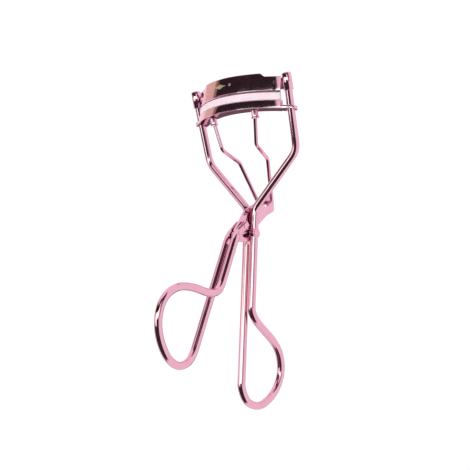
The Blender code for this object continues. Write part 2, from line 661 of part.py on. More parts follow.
build()
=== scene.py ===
"""Looks of the eyelash curler: fine polished metal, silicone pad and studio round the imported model.

Lengths are in metres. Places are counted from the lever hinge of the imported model, as in the
model's own source: +Z along the guide rods, +X along the width of the jaws, -Y to their front.
"""
import json
import math

import bmesh
import bpy
from mathutils import Matrix, Vector

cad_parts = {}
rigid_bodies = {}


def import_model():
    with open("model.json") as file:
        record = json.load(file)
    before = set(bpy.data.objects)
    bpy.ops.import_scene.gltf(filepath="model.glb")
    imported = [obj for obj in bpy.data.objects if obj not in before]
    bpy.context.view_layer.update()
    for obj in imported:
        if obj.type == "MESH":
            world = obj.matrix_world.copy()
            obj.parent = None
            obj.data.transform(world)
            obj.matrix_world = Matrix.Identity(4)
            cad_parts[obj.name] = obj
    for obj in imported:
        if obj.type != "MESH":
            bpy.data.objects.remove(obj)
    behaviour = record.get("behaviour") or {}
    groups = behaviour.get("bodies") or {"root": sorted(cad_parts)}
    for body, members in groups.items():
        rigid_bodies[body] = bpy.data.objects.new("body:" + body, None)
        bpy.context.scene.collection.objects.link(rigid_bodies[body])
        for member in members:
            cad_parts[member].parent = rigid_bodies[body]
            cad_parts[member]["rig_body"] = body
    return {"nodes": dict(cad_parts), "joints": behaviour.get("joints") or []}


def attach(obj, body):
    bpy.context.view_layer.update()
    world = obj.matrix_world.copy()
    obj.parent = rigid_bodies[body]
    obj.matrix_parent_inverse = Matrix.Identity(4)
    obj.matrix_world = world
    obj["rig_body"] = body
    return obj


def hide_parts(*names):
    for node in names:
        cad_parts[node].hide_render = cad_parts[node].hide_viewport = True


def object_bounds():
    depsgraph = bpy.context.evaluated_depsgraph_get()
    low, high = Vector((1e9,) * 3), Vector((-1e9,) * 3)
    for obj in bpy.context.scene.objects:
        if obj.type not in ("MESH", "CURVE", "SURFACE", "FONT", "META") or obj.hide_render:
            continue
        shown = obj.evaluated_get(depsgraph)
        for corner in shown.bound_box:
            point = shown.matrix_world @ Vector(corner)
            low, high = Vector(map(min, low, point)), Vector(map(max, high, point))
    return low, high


MM = 0.001
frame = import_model()
CAD_BOX = [list(corner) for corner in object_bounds()]
JOINTS = {joint["name"]: joint for joint in frame["joints"]}
HINGE = Vector(JOINTS["lever_hinge"]["pos_m"])
PUSH_PIVOT = Vector(JOINTS["push_rod_swing"]["pos_m"]) - HINGE

# ---- wires and handles --------------------------------------------------------------------
WIRE_R = 1.2 * MM
WIRE_SIDES = 32
PATH_STEP = 0.35 * MM           # spacing of the rings along a wire
PATH_SMOOTHING = 10             # passes that even out the curvature along a wire
TIP_SHARE = 0.3                 # a wire's end domes out by this share of its radius
ROD_TOP_HALF = 19.0 * MM
ROD_KINK_HALF = 17.95 * MM
ROD_BACK = 6.7 * MM
ROD_TOP_Z = 46.4 * MM
ROD_KINK_Z = 23.0 * MM
ROD_KINK_BEND = 5.0 * MM        # bend radius at the rods' lower bend
NECK_BEND = 3.0 * MM            # and where the two wires come together
ROD_LEAN = (ROD_TOP_HALF - ROD_KINK_HALF) / (ROD_TOP_Z - ROD_KINK_Z)
PAIR_HALF = 1.5 * MM
HANDLE_ANGLE = math.radians(17.7)
LEVER_ANGLE = math.radians(37.4)
NECK_UP = 7.7 * MM
LEVER_OFFSET = 7.1 * MM
HANDLE_START = 20.0 * MM        # straight run of the frame handle's pair, from the hinge
LEVER_START = 18.0 * MM         # and of the lever's
LEVER_BEND_S = 4.6 * MM         # bend of the lever wires, along the lever
LEVER_BEND = 4.0 * MM
FLAT_UP = 10.2 * MM             # flattened stretch of the frame wires above the hinge
FLAT_DOWN = 3.4 * MM            # and below it
FLAT_FACE = 0.75                # wires are flattened outside to this share of their radius
OUTER_FLAT = PAIR_HALF + FLAT_FACE * WIRE_R
CUT_REACH = 5.0 * MM            # how far cutting tools reach
# (along, across) a handle from the hinge, in mm
FRAME_LOOP = [(24.0, 0.0), (26.8, 2.4), (29.5, 6.7), (32.2, 11.1), (35.9, 14.7), (40.9, 16.3),
              (45.8, 15.3), (49.9, 12.2), (52.4, 7.6), (51.3, 2.6), (47.4, 0.1), (44.0, 0.0)]
LEVER_LOOP = [(21.0, 0.0), (24.0, 0.9), (25.8, 4.3), (26.8, 9.6), (29.0, 14.9), (32.8, 18.2),
              (37.4, 19.0), (42.2, 17.5), (46.3, 14.1), (49.1, 9.4), (49.3, 4.6), (46.6, 1.1),
              (43.0, 0.0)]

# ---- jaws ---------------------------------------------------------------------------------
JAW_TILT = math.radians(18.0)
JAW_R = 27.7 * MM
JAW_SET = 0.27 * MM
JAW_SAGITTA = JAW_R - math.sqrt(JAW_R ** 2 - ROD_TOP_HALF ** 2)
JAW_FRONT = JAW_SAGITTA * math.cos(JAW_TILT) - ROD_BACK - JAW_SET
JAW_MEET_Z = 43.0 * MM
JAW_STEPS = 220                 # steps along a piece that follows the jaws' arc
PLATE_HALF = 16.8 * MM
PLATE_T = 0.8 * MM
PLATE_HEIGHT = 5.8 * MM
PLATE_END_HEIGHT = 4.8 * MM
SHOULDER_HALF = 11.0 * MM
SHOULDER_RUN = 1.6 * MM
PLATE_LIP = 2.2 * MM
PLATE_EDGES = (0.4, 0.25, 0.25, 0.15, 0.25, 0.35)       # corner radii of its section, in mm
PLATE_BEVEL = 0.12 * MM
GAP = 0.3 * MM
PAD_TOP = -0.1 * MM             # below the plate's lower edge
PAD_SHOW = 2.6 * MM
PAD_HALF = 17.0 * MM
PAD_STEM_HALF = 15.5 * MM       # the stem stops short of the ears
PAD_LIP = 0.3 * MM              # beyond it the pad still reaches this far into the channel
PAD_RIM = 0.12 * MM             # the pad's sides start this far above the channel
PAD_INSET = 0.15 * MM           # and stand this far behind its faces
PAD_CROWN = 0.05 * MM           # the top's middle is this much higher than its sides
PAD_END_SHARE = 0.035           # share of the half length over which each end rounds off
PAD_END_INSET = 0.45 * MM
PAD_END_DROP = 0.5 * MM
PAD_EDGES = (0.1, 0.05, 0.2, 0.35, 0.6, 0.35, 0.2, 0.05, 0.1)
CHANNEL_TOP = PAD_TOP - PAD_SHOW
CHANNEL_H = 2.5 * MM
CHANNEL_FOOT = CHANNEL_TOP - CHANNEL_H
CHANNEL_W = 4.0 * MM
CHANNEL_WALL = 0.6 * MM
CHANNEL_HALF = 17.4 * MM
CHANNEL_EDGES = (0.2, 0.12, 0.12, 0.2, 0.2, 0.12, 0.12, 0.4)
CHANNEL_BEVEL = 0.08 * MM
EAR_R = 1.95 * MM
EAR_T = 1.0 * MM
EAR_RAISE = 0.02 * MM           # keeps the ear's foot off the channel's
EAR_ROOT_IN = 1.9 * MM          # the ears grow out of the channel from here, short of its ends
EAR_ROOT_LONG = 3.6 * MM        # and from this far in front of the rods
EAR_ROOT_SHIFT = 0.4 * MM
GUIDE_CLEAR = 0.25 * MM
GUIDE_PLAY = 0.1 * MM           # and this much more on the outer side
JAW_TRAVEL = 7.2 * MM
CLIP_WALL = 0.2 * MM
CLIP_CLEAR = 0.1 * MM
CLIP_H = 5.2 * MM
CLIP_EDGE = 0.12 * MM           # chamfer at the roll's ends
CLIP_BEVEL = 0.06 * MM
CLIP_RIVET_IN = 1.6 * MM        # the rivet's place, from the end of the plate
TAB_T = 0.7 * MM
TAB_LONG = 3.0 * MM             # the tab's reach inside the plate, from its end
TAB_BITE = 0.3                  # the tab runs past the rod by this share of the roll's radius
SAGITTA_CLEAR = 0.1 * MM        # the tab's end stands off the curved plate by this
RIVET_R = 0.5 * MM
HOLE_PLAY = 0.2 * MM            # round the shank of a rivet or of the hinge
RIVET_HOLE_R = RIVET_R + HOLE_PLAY
RIVET_HEAD_R = 0.85 * MM
RIVET_HEAD_T = 0.25 * MM
HEAD_CLEAR = 0.15 * MM
FLUSH_SUNK = 0.01 * MM          # a flush end lies this far below the plate's face
FLUSH_GAP = 0.02 * MM           # and this gap goes round it

# ---- push rod and lever plate -------------------------------------------------------------
PUSH_R = 0.62 * MM
PUSH_TOP_X = 8.5 * MM
PUSH_KNEE = (7.0 * MM, 26.7 * MM)
PUSH_ANKLE = (5.8 * MM, 7.1 * MM, 21.9 * MM)
PUSH_FOOT_X = 2.75 * MM
HOOK_Y = 9.35 * MM
HOOK_Z = 8.2 * MM
PUSH_BEND = 1.6 * MM
PUSH_FOOT_BEND = 1.3 * MM
SLOT_OFFSET = (-0.1 * MM, -0.15 * MM)       # middle of the lever plate's slot from the push rod
SLOT_R = (1.15 * MM, 1.2 * MM)
SLOT_SIDES = 48
SOCKET_BORE = 0.86 * MM
SOCKET_R = 1.1 * MM
SOCKET_MOUTH = 0.95 * MM        # the socket's mouth is this far below the push rod's pivots
# flared rim round the mouth: (radius, height above the mouth), in mm
SOCKET_RIM = [(0.86, 0.06), (0.92, 0.0), (1.2, 0.0), (1.28, 0.08), (1.28, 0.3), (1.23, 0.42),
              (1.13, 0.62), (1.1, 0.75)]
HINGE_R = 0.75 * MM
HINGE_HOLE_R = HINGE_R + HOLE_PLAY
HINGE_HEAD_R = 1.15 * MM
EYE_R = 1.6 * MM                # flattened eyes of the frame wire round the hinge
EYE_IN = 0.4 * MM               # their inner face before the flats are cut
HEAD_SEAT = 0.03 * MM           # the heads sit this close to the wires
HINGE_HEAD_T = 0.25 * MM
LEVER_PLATE_T = 0.9 * MM
LEVER_PLATE_CORNER = 1.2 * MM
LEVER_PLATE_BEVEL = 0.15 * MM
# (y, z) from the hinge, in mm
LEVER_RIVETS = {"upper": (-4.22, 2.86), "lower": (-7.23, 1.29)}
LEVER_WIRE_END = (-3.1, 3.45)
LEVER_FLAT = [(-13.0, 0.5), (-6.0, -5.5), (2.0, 3.0), (-5.0, 9.0)]
LEVER_FACE = [(-9.5, 2.8), (-7.3, -1.4), (-0.7, 2.0), (-2.9, 6.3)]
LEVER_PLATE = [(-9.2, 0.6), (-6.6, -1.4), (-2.4, -2.2), (1.7, -1.9), (3.6, 1.9), (8.2, 4.2), (12.4, 5.1),
               (13.0, 8.3), (12.2, 10.7), (8.8, 10.6), (5.6, 9.0), (1.9, 8.3), (-1.0, 7.5), (-4.6, 4.2)]


def along(angle, s, t, x=0.0, side=1):
    """A point s down a handle and t across it (side +1 to the back, -1 to the front)."""
    c, n = math.cos(angle), math.sin(angle)
    return Vector((x, -n * s + side * c * t, -c * s - side * n * t))


def smoothstep(t):
    t = min(1.0, max(0.0, t))
    return t * t * (3.0 - 2.0 * t)


# ---- paths --------------------------------------------------------------------------------
def fillet(points, radii, step=math.radians(6)):
    """Corners joined by straight runs, with each corner rounded to its bend radius."""
    pts = [Vector(p) for p in points]
    out = [pts[0]]
    for i in range(1, len(pts) - 1):
        a = (pts[i - 1] - pts[i]).normalized()
        b = (pts[i + 1] - pts[i]).normalized()
        turn = math.pi - a.angle(b)
        back = radii[i - 1] * math.tan(turn / 2)
        centre = pts[i] + (a + b).normalized() * (radii[i - 1] / math.cos(turn / 2))
        first = pts[i] + a * back - centre
        axis = first.cross(pts[i] + b * back - centre).normalized()
        count = max(2, round(turn / step))
        for k in range(count + 1):
            out.append(centre + Matrix.Rotation(turn * k / count, 3, axis) @ first)
    out.append(pts[-1])
    return out


def smooth_path(points, per_span=10):
    """A Catmull-Rom curve through the points."""
    pts = [Vector(p) for p in points]
    pts = [2 * pts[0] - pts[1]] + pts + [2 * pts[-1] - pts[-2]]
    out = []
    for i in range(1, len(pts) - 2):
        p0, p1, p2, p3 = pts[i - 1:i + 3]
        for k in range(per_span):
            t = k / per_span
            out.append(0.5 * (2 * p1 + (p2 - p0) * t + (2 * p0 - 5 * p1 + 4 * p2 - p3) * t * t
                              + (3 * p1 - 3 * p2 + p3 - p0) * t ** 3))
    out.append(pts[-2])
    return out


def evened(path, step=PATH_STEP, passes=PATH_SMOOTHING):
    """The path at even spacing, with its curvature evened out so that reflections flow along it."""
    lengths = [0.0]
    for a, b in zip(path, path[1:]):
        lengths.append(lengths[-1] + (b - a).length)
    count = round(lengths[-1] / step)
    out, i = [], 0
    for k in range(count + 1):
        at = lengths[-1] * k / count
        while i < len(path) - 2 and lengths[i + 1] < at:
            i += 1
        span = max(lengths[i + 1] - lengths[i], 1e-9)
        out.append(path[i].lerp(path[i + 1], (at - lengths[i]) / span))
    for _ in range(passes):
        out = [out[0]] + [(a + 2 * b + c) / 4 for a, b, c in zip(out, out[1:], out[2:])] + [out[-1]]
    return out


# ---- meshes -------------------------------------------------------------------------------
def skin(bm, rings):
    """Quads between rings of the same size, with the two ends closed."""
    size = len(rings[0])
    for low, high in zip(rings, rings[1:]):
        for k in range(size):
            bm.faces.new((low[k], low[(k + 1) % size], high[(k + 1) % size], high[k]))
    bm.faces.new(rings[0][::-1])
    bm.faces.new(rings[-1])


def tube(points, radius, sides=WIRE_SIDES):
    """A round wire along the points, with domed ends."""
    bm = bmesh.new()
    count = len(points)
    normal = None
    rings = []
    dome = [math.radians(15 * k) for k in range(5, 0, -1)]
    for i, point in enumerate(points):
        before = points[max(i - 1, 0)]
        after = points[min(i + 1, count - 1)]
        tangent = (after - before).normalized()
        normal = normal or tangent.orthogonal()
        normal = (normal - tangent * normal.dot(tangent)).normalized()
        spots = [(point, radius)]
        if i == 0:
            spots = [(point - tangent * radius * TIP_SHARE * math.sin(a), radius * math.cos(a))
                     for a in dome] + spots
        if i == count - 1:
            spots += [(point + tangent * radius * TIP_SHARE * math.sin(a), radius * math.cos(a))
                      for a in dome[::-1]]
        other = tangent.cross(normal)
        for centre, size in spots:
            angles = [2 * math.pi * k / sides for k in range(sides)]
            rings.append([bm.verts.new(centre + (normal * math.cos(a) + other * math.sin(a)) * size)
                          for a in angles])
    skin(bm, rings)
    return bm


def turned(profile, place, sides=40):
    """A turned body: profile is (radius, height) pairs from one end to the other."""
    bm = bmesh.new()
    circle = [(math.cos(2 * math.pi * k / sides), math.sin(2 * math.pi * k / sides)) for k in range(sides)]
    skin(bm, [[bm.verts.new(place @ Vector((r * c, r * n, h))) for c, n in circle] for r, h in profile])
    return bm


def slab(outline, low, high, place=None):
    """An outline extruded between two heights; by default (y, z) points extruded along X."""
    place = place or (lambda a, b, h: Vector((h, a, b)))
    bm = bmesh.new()
    skin(bm, [[bm.verts.new(place(a, b, h)) for a, b in outline] for h in (low, high)])
    return bm


def rounded(corners, radii, step=math.radians(15)):
    """A closed outline with each corner rounded to its own radius."""
    pts = [Vector((a, b, 0.0)) for a, b in corners]
    out = []
    for i, p in enumerate(pts):
        run = fillet([(pts[i - 1] + p) / 2, p, (p + pts[(i + 1) % len(pts)]) / 2], [radii[i]], step)
        out += [(q.x, q.y) for q in run[1:-1]]
    return out


def along_x(x, y, z):
    """Places a turned body with its axis along X."""
    return Matrix.Translation((x, y, z)) @ Matrix.Rotation(math.pi / 2, 4, "Y")


def drill(radius, place, reach=CUT_REACH):
    return turned([(radius, -reach), (radius, reach)], place)


def new_object(name, bm, smooth_angle=32.0):
    bmesh.ops.recalc_face_normals(bm, faces=bm.faces)
    mesh = bpy.data.meshes.new(name)
    bm.to_mesh(mesh)
    bm.free()
    mesh.shade_smooth()
    mesh.set_sharp_from_angle(angle=math.radians(smooth_angle))
    obj = bpy.data.objects.new(name, mesh)
    obj.location = HINGE
    bpy.context.scene.collection.objects.link(obj)
    return obj


def baked(obj, smooth_angle=32.0):
    """Replaces the object's mesh by what its modifiers make of it."""
    graph = bpy.context.evaluated_depsgraph_get()
    mesh = bpy.data.meshes.new_from_object(obj.evaluated_get(graph))
    obj.modifiers.clear()
    obj.data = mesh
    mesh.shade_smooth()
    mesh.set_sharp_from_angle(angle=math.radians(smooth_angle))


def carve(obj, bm, operation="DIFFERENCE"):
    tool = new_object("tool", bm)
    mod = obj.modifiers.new("carve", "BOOLEAN")
    mod.operation = operation
    mod.solver = "EXACT"
    mod.object = tool
    baked(obj)
    bpy.data.objects.remove(tool, do_unlink=True)


def soften(obj, width, angle=40.0, segments=2):
    """Rounds off the sharp edges."""
    mod = obj.modifiers.new("soften", "BEVEL")
    mod.width = width
    mod.segments = segments
    mod.limit_method = "ANGLE"
    mod.angle_limit = math.radians(angle)
    mod.harden_normals = True
    baked(obj, 50.0)


def place(obj, mat, node):
    """Puts a fine piece in a CAD node's stead, on its body and with its material slot."""
    obj.data.materials.clear()
    obj.data.materials.append(mat)
    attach(obj, frame["nodes"][node]["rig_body"])
    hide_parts(node)


# ---- materials ----------------------------------------------------------------------------
class Nodes:
    """Short calls for building one procedural material."""

    def __init__(self, name):
        self.mat = bpy.data.materials.new(name)
        self.mat.use_nodes = True
        self.tree = self.mat.node_tree
        self.bsdf = self.tree.nodes["Principled BSDF"]
        self.coord = self.add("ShaderNodeTexCoord").outputs["Object"]

    def add(self, kind, **settings):
        node = self.tree.nodes.new(kind)
        for key, value in settings.items():
            setattr(node, key, value)
        return node

    def link(self, a, b):
        self.tree.links.new(a, b)

    def set(self, **values):
        for key, value in values.items():
            self.bsdf.inputs[key.replace("_", " ")].default_value = value

    def noise(self, scale, detail=2.0, stretch=(1, 1, 1), roughness=0.5):
        mapping = self.add("ShaderNodeMapping")
        mapping.inputs["Scale"].default_value = stretch
        self.link(self.coord, mapping.inputs["Vector"])
        noise = self.add("ShaderNodeTexNoise")
        noise.inputs["Scale"].default_value = scale
        noise.inputs["Detail"].default_value = detail
        noise.inputs["Roughness"].default_value = roughness
        self.link(mapping.outputs["Vector"], noise.inputs["Vector"])
        return noise.outputs["Fac"]

    def ramp(self, fac, low, high, start=0.3, end=0.7):
        """A colour, or a grey, that goes from low to high as fac goes from start to end."""
        ramp = self.add("ShaderNodeValToRGB")
        for stop, at, value in zip(ramp.color_ramp.elements, (start, end), (low, high)):
            stop.position = at
            stop.color = (*value, 1.0) if hasattr(value, "__len__") else (value, value, value, 1.0)
        self.link(fac, ramp.inputs["Fac"])
        return ramp.outputs["Color"]

    def bump(self, height, distance, strength, under=None):
        bump = self.add("ShaderNodeBump")
        bump.inputs["Strength"].default_value = strength
        bump.inputs["Distance"].default_value = distance
        self.link(height, bump.inputs["Height"])
        if under:
            self.link(under, bump.inputs["Normal"])
        return bump.outputs["Normal"]


def rose_metal(name, light, deep, rough_low, rough_high):
    """Polished rose-gold plating: soft smudges, faint drawing marks and a trace of waviness."""
    n = Nodes(name)
    n.set(Metallic=1.0, IOR=1.5)
    n.link(n.ramp(n.noise(260.0, 3.0), deep, light), n.bsdf.inputs["Base Color"])
    n.link(n.ramp(n.noise(420.0, 4.0, roughness=0.65), rough_low, rough_high), n.bsdf.inputs["Roughness"])
    waves = n.bump(n.noise(90.0, 1.0), 0.00006, 0.10)
    marks = n.bump(n.noise(5200.0, 3.0, stretch=(1.0, 1.0, 0.18)), 0.000002, 0.03, under=waves)
    n.link(marks, n.bsdf.inputs["Normal"])
    return n.mat


def silicone():
    """Soft satin silicone: milky pink, a fine moulded grain and a faint dusting of colour."""
    n = Nodes("silicone_soft")
    n.set(Metallic=0.0, IOR=1.41)
    n.bsdf.inputs["Subsurface Weight"].default_value = 0.35
    n.bsdf.inputs["Subsurface Radius"].default_value = (1.0, 0.55, 0.6)
    n.bsdf.inputs["Subsurface Scale"].default_value = 0.0008
    n.link(n.ramp(n.noise(300.0, 3.0), (0.90, 0.70, 0.78), (0.94, 0.78, 0.84)), n.bsdf.inputs["Base Color"])
    n.link(n.ramp(n.noise(900.0, 3.0), 0.38, 0.52), n.bsdf.inputs["Roughness"])
    n.link(n.bump(n.noise(6500.0, 2.0), 0.00001, 0.25), n.bsdf.inputs["Normal"])
    return n.mat


def pale_gold():
    n = Nodes("pale_gold")
    n.set(Metallic=1.0)
    n.link(n.ramp(n.noise(900.0, 3.0), (0.90, 0.66, 0.42), (0.96, 0.76, 0.52)), n.bsdf.inputs["Base Color"])
    n.link(n.ramp(n.noise(1500.0, 3.0), 0.30, 0.42), n.bsdf.inputs["Roughness"])
    return n.mat


# ---- jaws' arc ----------------------------------------------------------------------------
def jaw_point(turn, radius, height):
    """A point of the jaws: turn round the arc from the front, its radius, height square to the arc."""
    back = JAW_R - radius * math.cos(turn)
    y = -JAW_FRONT + back * math.cos(JAW_TILT) + height * math.sin(JAW_TILT)
    z = JAW_MEET_Z - back * math.sin(JAW_TILT) + height * math.cos(JAW_TILT)
    return Vector((radius * math.sin(turn), y, z))


def in_jaw_plane(a, b, h):
    """A point of the jaws: x, distance back from the front, height square to the arc."""
    y = -JAW_FRONT + b * math.cos(JAW_TILT) + h * math.sin(JAW_TILT)
    return Vector((a, y, JAW_MEET_Z - b * math.sin(JAW_TILT) + h * math.cos(JAW_TILT)))


def jaw_turn(half):
    return math.asin(half / JAW_R)


def jaw_sweep(section, half, steps=JAW_STEPS):
    """Sweeps a (radius, height) section, a function of the turn's share from -1 to 1."""
    bm = bmesh.new()
    limit = jaw_turn(half)
    rings = []
    for i in range(steps + 1):
        share = 2 * i / steps - 1
        rings.append([bm.verts.new(jaw_point(limit * share, r, h)) for r, h in section(share)])
    skin(bm, rings)
    return bm


def rod_x(z):
    return ROD_KINK_HALF + ROD_LEAN * (z - ROD_KINK_Z)


def rod_back(h):
    """How far back in the jaws' plane the rods stand, at a height above it."""
    return (ROD_BACK + JAW_FRONT - h * math.sin(JAW_TILT)) / math.cos(JAW_TILT)


# ---- pieces -------------------------------------------------------------------------------
def handle_loop(angle, side, spots):
    """Finger loop: (s, t) spots, with x passing evenly from one wire of the pair to the other."""
    last = len(spots) - 1
    points = []
    for i, (s, t) in enumerate(spots):
        x = PAIR_HALF * (1.0 - 2.0 * smoothstep(i / last))
        points.append(along(angle, s * MM, t * MM, x, side))
    return smooth_path(points)


def frame_wire(mat):
    neck = along(HANDLE_ANGLE, -NECK_UP, 0.0)

    def upper(side):
        corners = [(side * ROD_TOP_HALF, ROD_BACK, ROD_TOP_Z), (side * ROD_KINK_HALF, ROD_BACK, ROD_KINK_Z),
                   (side * PAIR_HALF, neck.y, neck.z),
                   along(HANDLE_ANGLE, HANDLE_START, 0.0, side * PAIR_HALF)]
        return fillet(corners, [ROD_KINK_BEND, NECK_BEND])

    path = upper(1)[:-1] + handle_loop(HANDLE_ANGLE, 1, FRAME_LOOP) + upper(-1)[:-1][::-1]
    wire = new_object("frame_wire_fine", tube(evened(path), WIRE_R))
    for side in (1, -1):
        low, high = sorted((side * EYE_IN, side * OUTER_FLAT))
        carve(wire, turned([(EYE_R, low), (EYE_R, high)], along_x(0, 0, 0), 64), "UNION")
    half = LEVER_PLATE_T / 2 + GAP

    def box(up, down, wide):
        corners = ((-up, -wide), (-up, wide), (down, wide), (down, -wide))
        spots = [along(HANDLE_ANGLE, s, t) for s, t in corners]
        return [(p.y, p.z) for p in spots]

    carve(wire, slab(box(FLAT_UP, FLAT_DOWN, CUT_REACH), -half, half))
    span = HINGE_HEAD_R + GAP
    for side in (1, -1):
        low, high = sorted((side * OUTER_FLAT, side * CUT_REACH))
        carve(wire, slab(box(span, span, span), low, high))
    carve(wire, drill(HINGE_HOLE_R, along_x(0, 0, 0)))
    place(wire, mat, "frame_wire")


def lever_wire(mat):
    def upper(side):
        x = side * PAIR_HALF
        end = (x, LEVER_WIRE_END[0] * MM, LEVER_WIRE_END[1] * MM)
        bend = along(LEVER_ANGLE, LEVER_BEND_S, LEVER_OFFSET, x, -1)
        return fillet([end, bend, along(LEVER_ANGLE, LEVER_START, LEVER_OFFSET, x, -1)], [LEVER_BEND])

    loop = handle_loop(LEVER_ANGLE, -1, [(s, t + LEVER_OFFSET / MM) for s, t in LEVER_LOOP])
    path = upper(1)[:-1] + loop + upper(-1)[:-1][::-1]
    wire = new_object("lever_wire_fine", tube(evened(path), WIRE_R))
    half = LEVER_PLATE_T / 2 + GAP
    carve(wire, slab([(y * MM, z * MM) for y, z in LEVER_FLAT], -half, half))
    for side in (1, -1):
        low, high = sorted((side * OUTER_FLAT, side * CUT_REACH))
        carve(wire, slab([(y * MM, z * MM) for y, z in LEVER_FACE], low, high))
    for y, z in LEVER_RIVETS.values():
        carve(wire, drill(RIVET_HOLE_R, along_x(0, y * MM, z * MM)))
    place(wire, mat, "lever_wire")


def push_rod(mat):
    def half(side):
        return [(side * PUSH_TOP_X, PUSH_PIVOT.y, PUSH_PIVOT.z),
                (side * PUSH_KNEE[0], PUSH_PIVOT.y, PUSH_KNEE[1]),
                (side * PUSH_ANKLE[0], PUSH_ANKLE[1], PUSH_ANKLE[2]), (side * PUSH_FOOT_X, HOOK_Y, HOOK_Z)]

    bends = [PUSH_BEND, PUSH_BEND, PUSH_FOOT_BEND]
    path = evened(fillet(half(1) + half(-1)[::-1], bends + bends[::-1]), 0.2 * MM, 6)
    place(new_object("push_rod_fine", tube(path, PUSH_R, 28)), mat, "push_rod_wire")


def rivet(name, node, mat, at, half_grip, shaft_r, head_r, head_t, flush=False):
    """A shank with a domed head at each end, or with its outer end flush."""
    dome = [math.radians(10 * k) for k in range(9)]
    head = [(head_r * math.cos(a), half_grip + head_t * math.sin(a)) for a in dome]
    end = half_grip - HEAD_CLEAR - FLUSH_SUNK if flush else half_grip
    profile = [(r, -h) for r, h in head[::-1]] + [(shaft_r, -half_grip), (shaft_r, end)]
    profile += [] if flush else head
    place(new_object(name, turned(profile, at, 48)), mat, node)


def upper_jaw_plate(mat):
    """Pressed plate with a raised middle and its lower edge folded back inside."""
    def section(share):
        x = JAW_R * math.sin(jaw_turn(PLATE_HALF) * share)
        fall = smoothstep((abs(x) - SHOULDER_HALF) / SHOULDER_RUN)
        top = PLATE_HEIGHT - (PLATE_HEIGHT - PLATE_END_HEIGHT) * fall
        corners = [(JAW_R, 0.0), (JAW_R, top), (JAW_R - PLATE_T, top), (JAW_R - PLATE_T, PLATE_T),
                   (JAW_R - PLATE_LIP, PLATE_T), (JAW_R - PLATE_LIP, 0.0)]
        return rounded(corners, [r * MM for r in PLATE_EDGES])

    plate = new_object("upper_jaw_plate_fine", jaw_sweep(section, PLATE_HALF))
    soften(plate, PLATE_BEVEL, 60.0)
    for side in (1, -1):
        at, grip = clip_rivet_place(side)
        carve(plate, drill(RIVET_R + FLUSH_GAP, at, 3 * grip))
    place(plate, mat, "upper_jaw_plate")


def clip_rivet_place(side):
    """Axis through the plate's end and the clip's tab, square to the plate, and half the grip."""
    turn = side * jaw_turn(PLATE_HALF - CLIP_RIVET_IN)
    stack = PLATE_T + GAP + TAB_T
    centre = jaw_point(turn, JAW_R - stack / 2, (PLATE_T + PLATE_END_HEIGHT) / 2)
    out = (jaw_point(turn, JAW_R + MM, 0) - jaw_point(turn, JAW_R, 0)).normalized()
    turned_out = out.to_track_quat("Z", "X").to_matrix().to_4x4()
    return Matrix.Translation(centre) @ turned_out, stack / 2 + HEAD_CLEAR


def upper_jaw_clip(side, name, mat):
    """A strip rolled round the rod's tip, with a tab that lies inside the plate's end."""
    low, high = PLATE_T + GAP, PLATE_END_HEIGHT - GAP
    middle = (low + high) / 2
    z_mid = in_jaw_plane(0.0, rod_back(middle), middle).z
    rod = Vector((side * rod_x(z_mid), rod_back(middle)))
    inner = WIRE_R + CLIP_CLEAR
    outer = inner + CLIP_WALL

    def inside_plate(half):
        turn = side * jaw_turn(half)
        radius = JAW_R - PLATE_T - GAP
        return Vector((radius * math.sin(turn), JAW_R - radius * math.cos(turn)))

    tip = inside_plate(PLATE_HALF - TAB_LONG)
    run = (inside_plate(PLATE_HALF) - tip).normalized()
    across = Vector((-run.y, run.x)) * side
    join = tip + run * ((rod - tip).dot(run) + TAB_BITE * outer)
    outline = [tip + across * SAGITTA_CLEAR, join, join + across * TAB_T, tip + across * TAB_T]
    tab = slab([tuple(p) for p in outline], low, high, in_jaw_plane)
    clip = new_object("upper_jaw_clip_%s_fine" % name, tab)
    base, top = ROD_TOP_Z - CLIP_H, ROD_TOP_Z
    profile = [(outer - CLIP_EDGE, base), (outer, base + CLIP_EDGE), (outer, top - CLIP_EDGE),
               (outer - CLIP_EDGE, top)]
    carve(clip, turned(profile, Matrix.Translation((rod.x, ROD_BACK, 0)), 64), "UNION")
    bore = [Vector((side * rod_x(z), ROD_BACK, z)) for z in (base - 2 * MM, top + 2 * MM)]
    carve(clip, tube(bore, inner, 48))
    at, grip = clip_rivet_place(side)
    carve(clip, drill(RIVET_HOLE_R, at, 3 * grip))
    soften(clip, CLIP_BEVEL, 50.0)
    place(clip, mat, "upper_jaw_clip_" + name)
    rivet("upper_jaw_rivet_%s_fine" % name, "upper_jaw_rivet_" + name, RIVET, at, grip, RIVET_R,
          RIVET_HEAD_R, RIVET_HEAD_T, flush=True)


